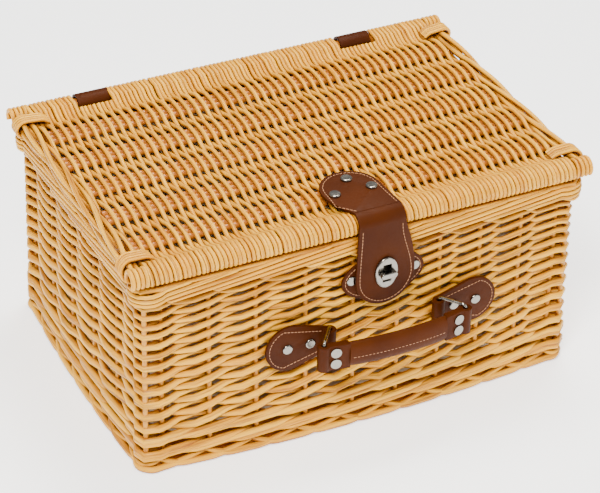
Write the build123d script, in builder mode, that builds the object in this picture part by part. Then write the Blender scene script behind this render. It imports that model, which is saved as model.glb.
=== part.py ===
"""A closed rectangular willow hamper with a hinged lid, a turn-lock strap and a ring-mounted handle.

Millimetres, +Z up, the front faces -Y. The origin is on the floor, under the middle of the whole part.
Every piece of the basket is a solid of its own, written to parts/NAME.step. Heights are above the floor.
Distances called "out" run from the basket's middle plane towards the front (and, mirrored, the back).
"""
import os
from math import sqrt

from build123d import *

os.makedirs("parts", exist_ok=True)

# ---------------------------------------------------------------- driving dimensions
lid_length = 421.0
lid_depth = 288.0
lid_thickness = 18.0            # over the wrapped rails
rim_height = 189.7              # top of the body
clearance = 0.3                 # between bodies that move past each other

wall_length = 404.0             # outside of the walls under the rim, along X
wall_depth = 272.0              # and along Y
wall = 13.0                     # a stake with a weaver on each side
corner_radius = 9.0
foot_flare = 1.0                # the foot is this much larger all round
front_bow = 9.5                 # how far the long walls belly out at the foot
side_bow = 4.0                  # and the short ones
foot_height = 10.0
foot_overhang = 1.5
wale_top = 40.0                 # the base wale ends and the weave begins
weave_top = 172.0               # the weave ends and the rim wale begins
rim_wale_top = 180.0
rim_overhang = 4.6

stake_diameter = 4.4
front_stakes = (-183.0, -141.0, -99.0, -54.0, -10.0, 32.0, 72.0, 111.0, 151.0, 186.0)
side_stake_count = 6
side_stake_pitch = 49.3
base_weave_z = (2.0, 9.0)
base_stick_diameter = 4.0
base_stick_rows = (-92.0, -84.0, -46.0, -38.0, -4.0, 4.0, 38.0, 46.0, 84.0, 92.0)
lining_gap = 0.3
lining_thickness = 1.4
lining_top = 186.0

rail_core_radius = 5.0
wrap_radius = lid_thickness / 2
lid_weave_length = 392.0
lid_weave_thickness = 13.0
stick_diameter = 6.0
stick_pitch = 6.6
sticks_per_band = 3
band_pitch = 45.0
band_count = 5
border_radius = 8.0
border_edge_round = 5.0
binding_width = 12.0
binding_thickness = 1.2
binding_reach = 26.0            # along the lid's top, in from the border's outside
binding_from_rail = 17.0        # from a rail's axis to the middle of the binding

leather = 2.2
hinge_strap_width = 30.0
hinge_strap_x = (-135.0, 122.0)
hinge_strap_half_depth = 6.8    # inside of the strap's loop, from its middle
hinge_strap_low_z = 181.5       # centre of the loop's lower bend

hardware_x = 13.5               # middle of the lock, its backing and the handle
neck_x = 9.0                    # middle of the strap where it bends over the front rail
neck_width = 43.0
head_x = 2.0
head_radius = 26.5
head_out = 100.5                # centre of the strap's round head
tongue_half_width = 27.2
tongue_bottom = 120.3
bend_gap = 0.15                 # between the strap's head and its tongue, at the bend

lock_z = 152.0
lock_plate_size = (21.0, 30.0)
lock_plate_thickness = 2.6
slot_size = (8.0, 17.0)
stem_size = (5.4, 6.0)
stem_length = 6.2
turn_bar_size = (15.0, 4.5, 5.5)
turn_pin_radius = 1.5
turn_pin_length = 4.0
turn_pin_fit = 0.05
backing_size = (76.5, 44.0)
backing_z = 146.0
backing_thickness = 2.0
backing_rivet_x = 29.5
backing_rivet_z = 148.0
lock_base_size = (18.0, 26.0)
lock_base_thickness = 1.2

handle_z = 98.0
pivot_half_gap = 51.5           # from the middle of the handle to a ring's inner bar
grip_half_length = 66.5         # from the middle of the handle to a ring's outer bar
ring_length = 24.6              # between the two bars of a ring
ring_half_height = 14.5
ring_corner = 3.0
wire_radius = 1.5
loop_radius = 5.5
loop_hole_radius = 2.4
strap_width = 24.0
tab_thickness = 2.8
tab_radius = 22.0
tab_centre_x = 86.5
tab_rivet_x = (68.0, 89.0)
grip_bow = 7.0
cover_half_length = 45.0
cover_thickness = 10.0
cover_height = 22.0
cover_round = 3.0
core_half_length = 42.0
core_thickness = 4.0
core_height = 14.0
grip_end_thickness = 6.5
grip_rivet_x = 57.0
grip_rivet_dz = 5.5

rivet_radius = 4.6
flat_rivet_height = 1.2
rivet_shank_radius = 1.5
rivet_hole_radius = 1.6
rivet_bite = 3.0                # how deep a shank goes into the willow

# ---------------------------------------------------------------- places worked out from them
half_x = wall_length / 2
half_y = wall_depth / 2
rail_out = lid_depth / 2 - wrap_radius
rail_z = rim_height + clearance + wrap_radius
lid_top = rail_z + wrap_radius
lid_weave_top = rail_z + lid_weave_thickness / 2
strap_bottom = lid_top + 0.2
strap_top = strap_bottom + leather
bend_inner = wrap_radius + 0.2
bend_outer = bend_inner + leather
tongue_inner = rail_out + bend_inner
tongue_outer = tongue_inner + leather
lock_plate_outer = tongue_outer + lock_plate_thickness


def flare(height):
    """How much larger the walls are at a height than under the rim."""
    return foot_flare * (1 - height / rim_height)


def bow(height, at_foot):
    """How far the middle of a wall stands out of its ends at a height."""
    return at_foot * (1 - height / rim_height) + 0.4


def front_surface(x, height):
    """How far out the front wall's outer face is."""
    along = x / (half_x - corner_radius)
    return half_y + flare(height) + bow(height, front_bow) * (1 - along**2)


backing_inner = front_surface(0, backing_z - backing_size[1] / 2) + 0.1
backing_outer = backing_inner + backing_thickness
lock_base_outer = backing_outer + lock_base_thickness
stem_outer = lock_base_outer + stem_length
tab_inner = front_surface(0, handle_z - tab_radius) + 0.1
tab_outer = tab_inner + tab_thickness
pivot_out = tab_inner + loop_radius
ring_out = sqrt(ring_length**2 - (grip_half_length - pivot_half_gap) ** 2)
grip_out = pivot_out + ring_out
grip_arc_radius = (grip_half_length**2 + grip_bow**2) / (2 * grip_bow)
front_reach = grip_out + grip_bow + cover_thickness / 2
back_reach = half_y + foot_flare + foot_overhang + front_bow + 0.4
basket_y = (front_reach - back_reach) / 2       # brings the middle of the whole part to Y = 0

side_stakes = [(k - (side_stake_count - 1) / 2) * side_stake_pitch for k in range(side_stake_count)]
stick_rows = [
    (band - (band_count - 1) / 2) * band_pitch + (stick - (sticks_per_band - 1) / 2) * stick_pitch
    for band in range(band_count)
    for stick in range(sticks_per_band)
]


def front(out):
    """The Y of a place that is so far out towards the front."""
    return basket_y - out


def facing(out):
    """A drawing plane on the front side: local X is X, local Y is height, and it extrudes outwards."""
    return Plane(origin=(0, front(out), 0), x_dir=(1, 0, 0), z_dir=(0, -1, 0))


def across(x):
    """A drawing plane across the basket: local X runs to the back, local Y is height."""
    return Plane(origin=(x, 0, 0), x_dir=(0, 1, 0), z_dir=(1, 0, 0))


# ---------------------------------------------------------------- the shape of the walls
def outline(height, outset):
    """The basket's plan at a height, moved outwards by outset, drawn in the open BuildLine."""
    x = half_x + flare(height) + outset
    y = half_y + flare(height) + outset
    r = max(corner_radius + outset, 0.6)
    long_side = y + bow(height, front_bow)
    short_side = x + bow(height, side_bow)
    b = basket_y
    ThreePointArc((-x + r, b - y), (0, b - long_side), (x - r, b - y))
    RadiusArc((x - r, b - y), (x, b - y + r), -r)
    ThreePointArc((x, b - y + r), (short_side, b), (x, b + y - r))
    RadiusArc((x, b + y - r), (x - r, b + y), -r)
    ThreePointArc((x - r, b + y), (0, b + long_side), (-x + r, b + y))
    RadiusArc((-x + r, b + y), (-x, b + y - r), -r)
    ThreePointArc((-x, b + y - r), (-short_side, b), (-x, b - y + r))
    RadiusArc((-x, b - y + r), (-x + r, b - y), -r)


def tapered_block(low, high, outset, mode=Mode.ADD):
    """A block with the basket's outline between two heights."""
    sections = []
    for height in (low, high):
        with BuildSketch(Plane.XY.offset(height)) as section:
            with BuildLine():
                outline(height, outset)
            make_face()
        sections.append(section.sketch)
    loft(sections, ruled=True, mode=mode)


def ring_block(low, high, outset):
    """A closed ring of wall between two heights."""
    tapered_block(low, high, outset)
    tapered_block(low, high, -wall, mode=Mode.SUBTRACT)


def stake_ends(name, low, high):
    """The two ends of each stake of one wall, or of the corner posts, between two heights."""
    ends = []
    for height in (low, high):
        line = []
        if name in ("front", "back"):
            side = -1 if name == "front" else 1
            for x in front_stakes:
                line.append((x, basket_y + side * (front_surface(x, height) - wall / 2), height))
        elif name in ("left", "right"):
            side = -1 if name == "left" else 1
            for y in side_stakes:
                along = y / (half_y - corner_radius)
                out = half_x + flare(height) + bow(height, side_bow) * (1 - along**2) - wall / 2
                line.append((side * out, basket_y + y, height))
        else:
            inset = corner_radius - 4.0
            for sx, sy in ((-1, -1), (1, -1), (1, 1), (-1, 1)):
                x = half_x + flare(height) - inset
                y = half_y + flare(height) - inset
                line.append((sx * x, basket_y + sy * y, height))
        ends.append(line)
    return list(zip(*ends))


def rods(ends, radius, mode=Mode.ADD):
    """Straight round rods between pairs of points, in the open BuildPart."""
    for start, stop in ends:
        along = Vector(*stop) - Vector(*start)
        with BuildSketch(Plane(origin=start, z_dir=tuple(along))) as section:
            Circle(radius)
        extrude(section.sketch, amount=along.length, mode=mode)


def stake_channels(names, low, high):
    """Cuts the holes that the stakes of the named walls stand in."""
    for name in names:
        ends = stake_ends(name, low - stake_diameter, high + stake_diameter)
        rods(ends, stake_diameter / 2 + 0.05, mode=Mode.SUBTRACT)


all_stakes = ("front", "back", "left", "right", "corner")
stake_low = foot_height + 0.2
stake_high = rim_wale_top - 0.2


def front_holes(places, radius, low_out, high_out):
    """Cuts round holes along Y through the open part."""
    with BuildSketch(facing(low_out)) as circles:
        with Locations(*places):
            Circle(radius)
    extrude(circles.sketch, amount=high_out - low_out, mode=Mode.SUBTRACT)


# ---------------------------------------------------------------- the base
with BuildPart() as base_weave:
    tapered_block(base_weave_z[0], base_weave_z[1], -wall - 0.05)
    base_middle = (base_weave_z[0] + base_weave_z[1]) / 2
    base_stick_half = half_x - wall - 4
    base_stick_ends = [
        ((-base_stick_half, basket_y + y, base_middle), (base_stick_half, basket_y + y, base_middle))
        for y in base_stick_rows
    ]
    rods(base_stick_ends, base_stick_diameter / 2 + 0.05, mode=Mode.SUBTRACT)
base_weave.part.label = "base_weave"
export_step(base_weave.part, "parts/base_weave.step")

with BuildPart() as base_sticks:
    rods(base_stick_ends, base_stick_diameter / 2)
base_sticks.part.label = "base_sticks"
export_step(base_sticks.part, "parts/base_sticks.step")

with BuildPart() as foot_border:
    ring_block(0, foot_height, foot_overhang)
foot_border.part.label = "foot_border"
export_step(foot_border.part, "parts/foot_border.step")

# ---------------------------------------------------------------- the walls
with BuildPart() as base_wale:
    ring_block(foot_height, wale_top, 0.5)
    stake_channels(all_stakes, foot_height, wale_top)
base_wale.part.label = "base_wale"
export_step(base_wale.part, "parts/base_wale.step")

wall_boxes = {
    "front": (0, -1),
    "back": (0, 1),
    "left": (-1, 0),
    "right": (1, 0),
}
weave_height = weave_top - wale_top
tab_rivet_places = [
    (hardware_x + side * x, handle_z) for side in (-1, 1) for x in tab_rivet_x
]
backing_rivet_places = [(hardware_x + side * backing_rivet_x, backing_rivet_z) for side in (-1, 1)]
for name, (sx, sy) in wall_boxes.items():
    with BuildPart() as weave:
        ring_block(wale_top, weave_top, 0)
        middle = (wale_top + weave_top) / 2
        if sy:
            with Locations((0, basket_y + sy * half_y, middle)):
                Box(2 * (half_x - wall), half_y, weave_height, mode=Mode.INTERSECT)
        else:
            with Locations((sx * half_x, basket_y, middle)):
                Box(2 * wall, wall_depth * 1.5, weave_height, mode=Mode.INTERSECT)
        stake_channels((name,) if sy else (name, "corner"), wale_top, weave_top)
        if name == "front":
            front_holes(tab_rivet_places, rivet_hole_radius, tab_inner - rivet_bite - 3, tab_outer)
            front_holes(backing_rivet_places, rivet_hole_radius, backing_inner - rivet_bite - 3, tab_outer)
    weave.part.label = name + "_weave"
    export_step(weave.part, f"parts/{name}_weave.step")

    with BuildPart() as stakes:
        rods(stake_ends(name, stake_low, stake_high), stake_diameter / 2)
        if name == "back":
            with Locations(*[(x, basket_y + half_y, rim_wale_top) for x in hinge_strap_x]):
                Box(hinge_strap_width + 2, 2 * wall, 2 * (rim_wale_top - weave_top), mode=Mode.SUBTRACT)
    stakes.part.label = name + "_stakes"
    export_step(stakes.part, f"parts/{name}_stakes.step")

with BuildPart() as corner_posts:
    rods(stake_ends("corner", stake_low, stake_high), stake_diameter / 2)
corner_posts.part.label = "corner_posts"
export_step(corner_posts.part, "parts/corner_posts.step")


# ---------------------------------------------------------------- the rim, with room for the hinge straps
def hinge_strap_profile(inner, outer):
    """The strap's closed loop round both rails, seen along X, in the open BuildSketch."""
    middle = (basket_y + rail_out, (rail_z + hinge_strap_low_z) / 2)
    length = rail_z - hinge_strap_low_z
    with Locations(middle):
        SlotCenterToCenter(length, 2 * outer, rotation=90)
        SlotCenterToCenter(length, 2 * inner, rotation=90, mode=Mode.SUBTRACT)


def hinge_strap_passages():
    """Cuts the ways that the two hinge straps take through the rim."""
    for x in hinge_strap_x:
        with BuildSketch(across(x - hinge_strap_width / 2 - 0.1)) as loop:
            hinge_strap_profile(hinge_strap_half_depth - 0.1, hinge_strap_half_depth + leather + 0.1)
        extrude(loop.sketch, amount=hinge_strap_width + 0.2, mode=Mode.SUBTRACT)


def hinge_rivet_holes():
    """Cuts the hole of each hinge strap's rivet."""
    behind = Plane(
        origin=(0, basket_y + rail_out + hinge_strap_half_depth - 5, 0), x_dir=(-1, 0, 0), z_dir=(0, 1, 0)
    )
    with BuildSketch(behind) as circles:
        with Locations(*[(-x, hinge_strap_low_z) for x in hinge_strap_x]):
            Circle(rivet_hole_radius)
    extrude(circles.sketch, amount=10, mode=Mode.SUBTRACT)


with BuildPart() as rim_wale:
    ring_block(weave_top, rim_wale_top, rim_overhang - 1)
    stake_channels(all_stakes, weave_top, rim_wale_top)
    hinge_strap_passages()
rim_wale.part.label = "rim_wale"
export_step(rim_wale.part, "parts/rim_wale.step")

with BuildPart() as rim_border:
    ring_block(rim_wale_top, rim_height, rim_overhang)
    hinge_strap_passages()
    hinge_rivet_holes()
rim_border.part.label = "rim_border"
export_step(rim_border.part, "parts/rim_border.step")

with BuildPart() as body_lining:
    tapered_block(base_weave_z[1], lining_top, -wall - lining_gap)
    tapered_block(base_weave_z[1] + lining_thickness, lining_top, -wall - lining_gap - lining_thickness,
                  mode=Mode.SUBTRACT)
body_lining.part.label = "body_lining"
export_step(body_lining.part, "parts/body_lining.step")

# ---------------------------------------------------------------- the lid
rail_half = lid_weave_length / 2
for name, side in (("front", -1), ("back", 1)):
    axis_y = basket_y + side * rail_out
    with BuildPart() as rail:
        with BuildSketch(across(-rail_half)):
            with Locations((axis_y, rail_z)):
                Circle(rail_core_radius)
        extrude(amount=lid_weave_length)
    rail.part.label = name + "_rail"
    export_step(rail.part, f"parts/{name}_rail.step")

    with BuildPart() as wrap:
        with BuildSketch(across(-rail_half)):
            with Locations((axis_y, rail_z)):
                Circle(wrap_radius)
                Circle(rail_core_radius + 0.05, mode=Mode.SUBTRACT)
        extrude(amount=lid_weave_length)
        if name == "back":
            with Locations(*[(x, axis_y, rail_z) for x in hinge_strap_x]):
                Box(hinge_strap_width + 1, 3 * wrap_radius, 3 * wrap_radius, mode=Mode.SUBTRACT)
    wrap.part.label = name + "_wrap"
    export_step(wrap.part, f"parts/{name}_wrap.step")

stick_half = rail_half - 1
stick_ends = [((-stick_half, basket_y + y, rail_z), (stick_half, basket_y + y, rail_z)) for y in stick_rows]
strap_rivet_places = [(4.5, front(87)), (-15, front(105)), (19, front(105))]

strap_room = hinge_strap_half_depth + leather + 2 * clearance
with BuildPart() as lid_weave:
    with Locations((0, basket_y, rail_z)):
        Box(lid_weave_length, 2 * rail_out, lid_weave_thickness)
    for side in (-1, 1):
        with BuildSketch(across(-rail_half)):
            with Locations((basket_y + side * rail_out, rail_z)):
                Circle(wrap_radius + 0.03)
        extrude(amount=lid_weave_length, mode=Mode.SUBTRACT)
    for x in hinge_strap_x:
        with BuildSketch(across(x - hinge_strap_width / 2 - 0.5)):
            with Locations((basket_y + rail_out, rail_z)):
                Circle(strap_room)
            with Locations((basket_y + rail_out - strap_room / 2, rail_z - strap_room / 2)):
                Rectangle(strap_room, strap_room)
        extrude(amount=hinge_strap_width + 1, mode=Mode.SUBTRACT)
    rods(stick_ends, stick_diameter / 2 + 0.05, mode=Mode.SUBTRACT)
    with BuildSketch(Plane.XY.offset(lid_weave_top - rivet_bite)):
        with Locations(*strap_rivet_places):
            Circle(rivet_hole_radius)
    extrude(amount=rivet_bite, mode=Mode.SUBTRACT)
lid_weave.part.label = "lid_weave"
export_step(lid_weave.part, "parts/lid_weave.step")

with BuildPart() as lid_sticks:
    rods(stick_ends, stick_diameter / 2)
lid_sticks.part.label = "lid_sticks"
export_step(lid_sticks.part, "parts/lid_sticks.step")

border_inner_x = rail_half + 0.05
border_width = lid_length / 2 - border_inner_x
for name, side in (("left", -1), ("right", 1)):
    with BuildPart() as border:
        with BuildSketch(across(side * border_inner_x)):
            with Locations((basket_y, rail_z)):
                SlotCenterToCenter(2 * rail_out, 2 * border_radius)
        extrude(amount=side * border_width)
        outer_face = border.faces().sort_by(Axis.X)[0 if side < 0 else -1]
        fillet(outer_face.edges(), border_edge_round)
    border.part.label = name + "_border"
    export_step(border.part, f"parts/{name}_border.step")

binding_out = rail_out - binding_from_rail
border_top = rail_z + border_radius
for x_name, sx in (("left", -1), ("right", 1)):
    for y_name, sy in (("front", -1), ("back", 1)):
        with BuildPart() as binding:
            far = lid_length / 2 + 0.05
            with BuildSketch(Plane(origin=(0, basket_y + sy * binding_out - binding_width / 2, 0),
                                   x_dir=(1, 0, 0), z_dir=(0, -1, 0))):
                with BuildLine():
                    Polyline(
                        (sx * (far - binding_reach), border_top + 0.05),
                        (sx * far, border_top + 0.05),
                        (sx * far, rail_z - border_radius / 2),
                        (sx * (far + binding_thickness), rail_z - border_radius / 2),
                        (sx * (far + binding_thickness), border_top + binding_thickness),
                        (sx * (far - binding_reach), border_top + binding_thickness),
                        close=True,
                    )
                make_face()
            extrude(amount=-binding_width)
        binding.part.label = f"corner_binding_{y_name}_{x_name}"
        export_step(binding.part, f"parts/corner_binding_{y_name}_{x_name}.step")

# ---------------------------------------------------------------- the strap
with BuildPart() as strap_head:
    with BuildSketch(Plane.XY.offset(strap_bottom)):
        with BuildLine():
            left_neck = neck_x - neck_width / 2
            right_neck = neck_x + neck_width / 2
            ThreePointArc(
                (head_x - head_radius, front(head_out)),
                (head_x, front(head_out - head_radius)),
                (head_x + head_radius, front(head_out)),
            )
            Line((head_x + head_radius, front(head_out)), (right_neck, front(rail_out)))
            Line((right_neck, front(rail_out)), (left_neck, front(rail_out)))
            Spline(
                (left_neck, front(rail_out)),
                (head_x - head_radius, front(head_out)),
                tangents=((-0.4, 1), (0, 1)),
            )
        make_face()
    extrude(amount=leather)
    with BuildSketch(Plane.XY.offset(strap_bottom)):
        with Locations(*strap_rivet_places):
            Circle(rivet_hole_radius)
    extrude(amount=leather, mode=Mode.SUBTRACT)
strap_head.part.label = "strap_head"
export_step(strap_head.part, "parts/strap_head.step")

with BuildPart() as strap_rivets:
    with BuildSketch(Plane.XY.offset(strap_top)):
        with Locations(*strap_rivet_places):
            Circle(rivet_radius + 0.4)
    extrude(amount=flat_rivet_height + 1)
    fillet(strap_rivets.edges().group_by(Axis.Z)[-1], flat_rivet_height)
    with BuildSketch(Plane.XY.offset(lid_weave_top - rivet_bite)):
        with Locations(*strap_rivet_places):
            Circle(rivet_shank_radius)
    extrude(amount=strap_top - lid_weave_top + rivet_bite)
strap_rivets.part.label = "strap_rivets"
export_step(strap_rivets.part, "parts/strap_rivets.step")

with BuildPart() as strap_tongue:
    with BuildSketch(across(neck_x - neck_width / 2)):
        with Locations((front(rail_out), rail_z)):
            Circle(bend_outer)
            Circle(bend_inner, mode=Mode.SUBTRACT)
        with Locations((front(rail_out) - bend_gap - bend_outer, rail_z + bend_outer)):
            Rectangle(2 * bend_outer, 2 * bend_outer, mode=Mode.INTERSECT)
    extrude(amount=neck_width)
    tongue_low = tongue_bottom + tongue_half_width
    with BuildSketch(facing(tongue_inner)):
        with BuildLine():
            left_side = hardware_x - tongue_half_width
            right_side = hardware_x + tongue_half_width
            Line((left_neck, rail_z), (right_neck, rail_z))
            Spline((right_neck, rail_z), (right_side, tongue_low), tangents=((0.3, -1), (0, -1)))
            ThreePointArc((right_side, tongue_low), (hardware_x, tongue_bottom), (left_side, tongue_low))
            Spline((left_side, tongue_low), (left_neck, rail_z), tangents=((0, 1), (0.05, 1)))
        make_face()
    extrude(amount=leather)
    with BuildSketch(facing(tongue_inner)):
        with Locations((hardware_x, lock_z)):
            Rectangle(slot_size[0] + 2, slot_size[1] + 2)
    extrude(amount=leather, mode=Mode.SUBTRACT)
strap_tongue.part.label = "strap_tongue"
export_step(strap_tongue.part, "parts/strap_tongue.step")

with BuildPart() as lock_plate:
    with BuildSketch(facing(tongue_outer)):
        with Locations((hardware_x, lock_z)):
            Ellipse(lock_plate_size[0] / 2, lock_plate_size[1] / 2)
    extrude(amount=lock_plate_thickness)
    fillet(lock_plate.edges().group_by(Axis.Y)[0], 1.4)
    with BuildSketch(facing(tongue_outer)):
        with Locations((hardware_x, lock_z)):
            Rectangle(*slot_size)
    extrude(amount=lock_plate_thickness, mode=Mode.SUBTRACT)
lock_plate.part.label = "lock_plate"
export_step(lock_plate.part, "parts/lock_plate.step")

# ---------------------------------------------------------------- the lock on the front wall
with BuildPart() as lock_backing:
    with BuildSketch(facing(backing_inner)):
        with Locations((hardware_x, backing_z)):
            Ellipse(backing_size[0] / 2, backing_size[1] / 2)
        with Locations(*backing_rivet_places):
            Circle(rivet_hole_radius, mode=Mode.SUBTRACT)
    extrude(amount=backing_thickness)
lock_backing.part.label = "lock_backing"
export_step(lock_backing.part, "parts/lock_backing.step")


def front_rivets(piece, places, cap_out, height, tail_out):
    """Round-headed rivets that go into the front from outside, as the piece's own solids."""
    with BuildSketch(facing(cap_out)) as caps:
        with Locations(*places):
            Circle(rivet_radius)
    extrude(caps.sketch, amount=height)
    fillet(piece.edges().group_by(Axis.Y)[0], height * 0.8)
    with BuildSketch(facing(tail_out)) as shanks:
        with Locations(*places):
            Circle(rivet_shank_radius)
    extrude(shanks.sketch, amount=cap_out - tail_out)


with BuildPart() as lock_backing_rivets:
    front_rivets(lock_backing_rivets, backing_rivet_places, backing_outer, flat_rivet_height,
                 backing_inner - rivet_bite)
lock_backing_rivets.part.label = "lock_backing_rivets"
export_step(lock_backing_rivets.part, "parts/lock_backing_rivets.step")

with BuildPart() as lock_base:
    with BuildSketch(facing(backing_outer)):
        with Locations((hardware_x, lock_z)):
            Ellipse(lock_base_size[0] / 2, lock_base_size[1] / 2)
    extrude(amount=lock_base_thickness)
    with BuildSketch(facing(lock_base_outer)):
        with Locations((hardware_x, lock_z)):
            Rectangle(*stem_size)
    extrude(amount=stem_length)
    front_holes([(hardware_x, lock_z)], turn_pin_radius + turn_pin_fit,
                stem_outer - turn_pin_length - 0.5, stem_outer)
lock_base.part.label = "lock_base"
export_step(lock_base.part, "parts/lock_base.step")

with BuildPart() as turn_head:
    with BuildSketch(facing(stem_outer + clearance)):
        with Locations((hardware_x, lock_z)):
            RectangleRounded(turn_bar_size[0], turn_bar_size[2], turn_bar_size[2] / 2 - 0.3)
    extrude(amount=turn_bar_size[1])
    fillet(turn_head.edges().group_by(Axis.Y)[0], 1.0)
    with BuildSketch(facing(stem_outer - turn_pin_length)):
        with Locations((hardware_x, lock_z)):
            Circle(turn_pin_radius)
    extrude(amount=turn_pin_length + clearance)
turn_head.part.label = "turn_head"
export_step(turn_head.part, "parts/turn_head.step")

# ---------------------------------------------------------------- the hinge straps
for name, x in zip(("left", "right"), hinge_strap_x):
    with BuildPart() as hinge_strap:
        with BuildSketch(across(x - hinge_strap_width / 2)):
            hinge_strap_profile(hinge_strap_half_depth, hinge_strap_half_depth + leather)
        extrude(amount=hinge_strap_width)
        hinge_rivet_holes()
    hinge_strap.part.label = "hinge_strap_" + name
    export_step(hinge_strap.part, f"parts/hinge_strap_{name}.step")

with BuildPart() as hinge_rivets:
    strap_back = basket_y + rail_out + hinge_strap_half_depth + leather
    rivet_spots = [(-x, hinge_strap_low_z) for x in hinge_strap_x]
    with BuildSketch(Plane(origin=(0, strap_back, 0), x_dir=(-1, 0, 0), z_dir=(0, 1, 0))):
        with Locations(*rivet_spots):
            Circle(rivet_radius)
    hinge_heads = extrude(amount=flat_rivet_height)
    fillet(hinge_heads.edges().group_by(Axis.Y)[-1], flat_rivet_height * 0.8)
    with BuildSketch(Plane(origin=(0, strap_back - leather - 2.5, 0), x_dir=(-1, 0, 0), z_dir=(0, 1, 0))):
        with Locations(*rivet_spots):
            Circle(rivet_shank_radius)
    extrude(amount=leather + 2.5)
hinge_rivets.part.label = "hinge_rivets"
export_step(hinge_rivets.part, "parts/hinge_rivets.step")

# ---------------------------------------------------------------- the handle
strap_low = handle_z - strap_width / 2
for name, side in (("left", -1), ("right", 1)):
    pivot_x = hardware_x + side * pivot_half_gap
    bar_x = hardware_x + side * grip_half_length
    with BuildPart() as handle_tab:
        with BuildSketch(facing(tab_inner)):
            with Locations((hardware_x + side * tab_centre_x, handle_z)):
                Circle(tab_radius)
            with Locations((pivot_x + side * 2, handle_z)):
                Rectangle(4, strap_width)
            make_hull()
        extrude(amount=tab_thickness)
        with BuildSketch(Plane.XY.offset(strap_low)):
            with Locations((pivot_x, front(pivot_out))):
                Circle(loop_radius)
        extrude(amount=strap_width)
        with BuildSketch(Plane.XY.offset(strap_low)):
            with Locations((pivot_x, front(pivot_out))):
                Circle(loop_hole_radius)
        extrude(amount=strap_width, mode=Mode.SUBTRACT)
        own_rivets = [place for place in tab_rivet_places if (place[0] - hardware_x) * side > 0]
        front_holes(own_rivets, rivet_hole_radius, tab_inner, tab_outer)
    handle_tab.part.label = "handle_tab_" + name
    export_step(handle_tab.part, f"parts/handle_tab_{name}.step")

    with BuildPart() as ring:
        reach = Vector(bar_x - pivot_x, -ring_out, 0)
        ring_plane = Plane(
            origin=(pivot_x, front(pivot_out), handle_z), x_dir=tuple(reach),
            z_dir=tuple(reach.cross(Vector(0, 0, 1))),
        )
        with BuildLine(ring_plane) as ring_path:
            FilletPolyline(
                (ring_length / 2, -ring_half_height), (ring_length, -ring_half_height),
                (ring_length, ring_half_height), (0, ring_half_height), (0, -ring_half_height),
                (ring_length / 2 - 0.001, -ring_half_height),
                radius=ring_corner,
            )
        with BuildSketch(Plane(origin=ring_path.line @ 0, z_dir=ring_path.line % 0)):
            Circle(wire_radius)
        sweep()
    ring.part.label = "ring_" + name
    export_step(ring.part, f"parts/ring_{name}.step")


def grip_band(low, high, thickness, mode=Mode.ADD):
    """The part of the bowed grip between two X, as thick as given, in the open BuildSketch."""
    with Locations((hardware_x, front(grip_out + grip_bow - grip_arc_radius))):
        Circle(grip_arc_radius + thickness / 2)
        Circle(grip_arc_radius - thickness / 2, mode=Mode.SUBTRACT)
    with Locations((hardware_x + (low + high) / 2, front(grip_out))):
        Rectangle(high - low, 4 * loop_radius + 2 * grip_bow, mode=Mode.INTERSECT)


with BuildPart() as grip_cover:
    with BuildSketch(Plane.XY.offset(handle_z - cover_height / 2)):
        grip_band(-cover_half_length, cover_half_length, cover_thickness)
    extrude(amount=cover_height)
    long_edges = grip_cover.edges().filter_by(GeomType.CIRCLE)
    fillet(long_edges, cover_round)
    with BuildSketch(Plane.XY.offset(handle_z - core_height / 2)):
        grip_band(-core_half_length, core_half_length, core_thickness)
    extrude(amount=core_height, mode=Mode.SUBTRACT)
grip_cover.part.label = "grip_cover"
export_step(grip_cover.part, "parts/grip_cover.step")

with BuildPart() as grip_core:
    with BuildSketch(Plane.XY.offset(handle_z - core_height / 2)):
        grip_band(-core_half_length, core_half_length, core_thickness)
    extrude(amount=core_height)
grip_core.part.label = "grip_core"
export_step(grip_core.part, "parts/grip_core.step")



def square_to_grip(side, outwards):
    """A plane at a grip rivet, square to the bowed face, so far outside the middle of the leather."""
    lean = side * grip_rivet_x / grip_arc_radius
    square = Vector(lean, -sqrt(1 - lean**2), 0)
    arc_centre = Vector(hardware_x, front(grip_out + grip_bow - grip_arc_radius), handle_z)
    return Plane(
        origin=tuple(arc_centre + square * (grip_arc_radius + outwards)),
        x_dir=(-square.Y, square.X, 0), z_dir=tuple(square),
    )


def grip_discs(side, outwards, radius, height, mode=Mode.ADD):
    """Discs at the two rivets of one end of the grip."""
    with BuildSketch(square_to_grip(side, outwards)) as discs:
        with Locations((0, -grip_rivet_dz), (0, grip_rivet_dz)):
            Circle(radius)
    extrude(discs.sketch, amount=height, mode=mode)


for name, side in (("left", -1), ("right", 1)):
    bar_x = hardware_x + side * grip_half_length
    with BuildPart() as grip_end:
        with BuildSketch(Plane.XY.offset(strap_low)):
            if side < 0:
                grip_band(-grip_half_length, -cover_half_length - 0.05, grip_end_thickness)
            else:
                grip_band(cover_half_length + 0.05, grip_half_length, grip_end_thickness)
            with Locations((bar_x, front(grip_out))):
                Circle(loop_radius)
        extrude(amount=strap_width)
        with BuildSketch(Plane.XY.offset(strap_low)):
            with Locations((bar_x, front(grip_out))):
                Circle(loop_hole_radius)
        extrude(amount=strap_width, mode=Mode.SUBTRACT)
        grip_discs(side, -grip_end_thickness, rivet_hole_radius, 2 * grip_end_thickness, Mode.SUBTRACT)
    grip_end.part.label = "grip_end_" + name
    export_step(grip_end.part, f"parts/grip_end_{name}.step")

with BuildPart() as grip_rivets:
    half_end = grip_end_thickness / 2 + 0.05
    for side in (-1, 1):
        grip_discs(side, half_end, rivet_radius, flat_rivet_height)
        grip_discs(side, -half_end - 1, rivet_radius - 0.6, 1)
        grip_discs(side, -half_end, rivet_shank_radius, 2 * half_end)
grip_rivets.part.label = "grip_rivets"
export_step(grip_rivets.part, "parts/grip_rivets.step")

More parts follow.
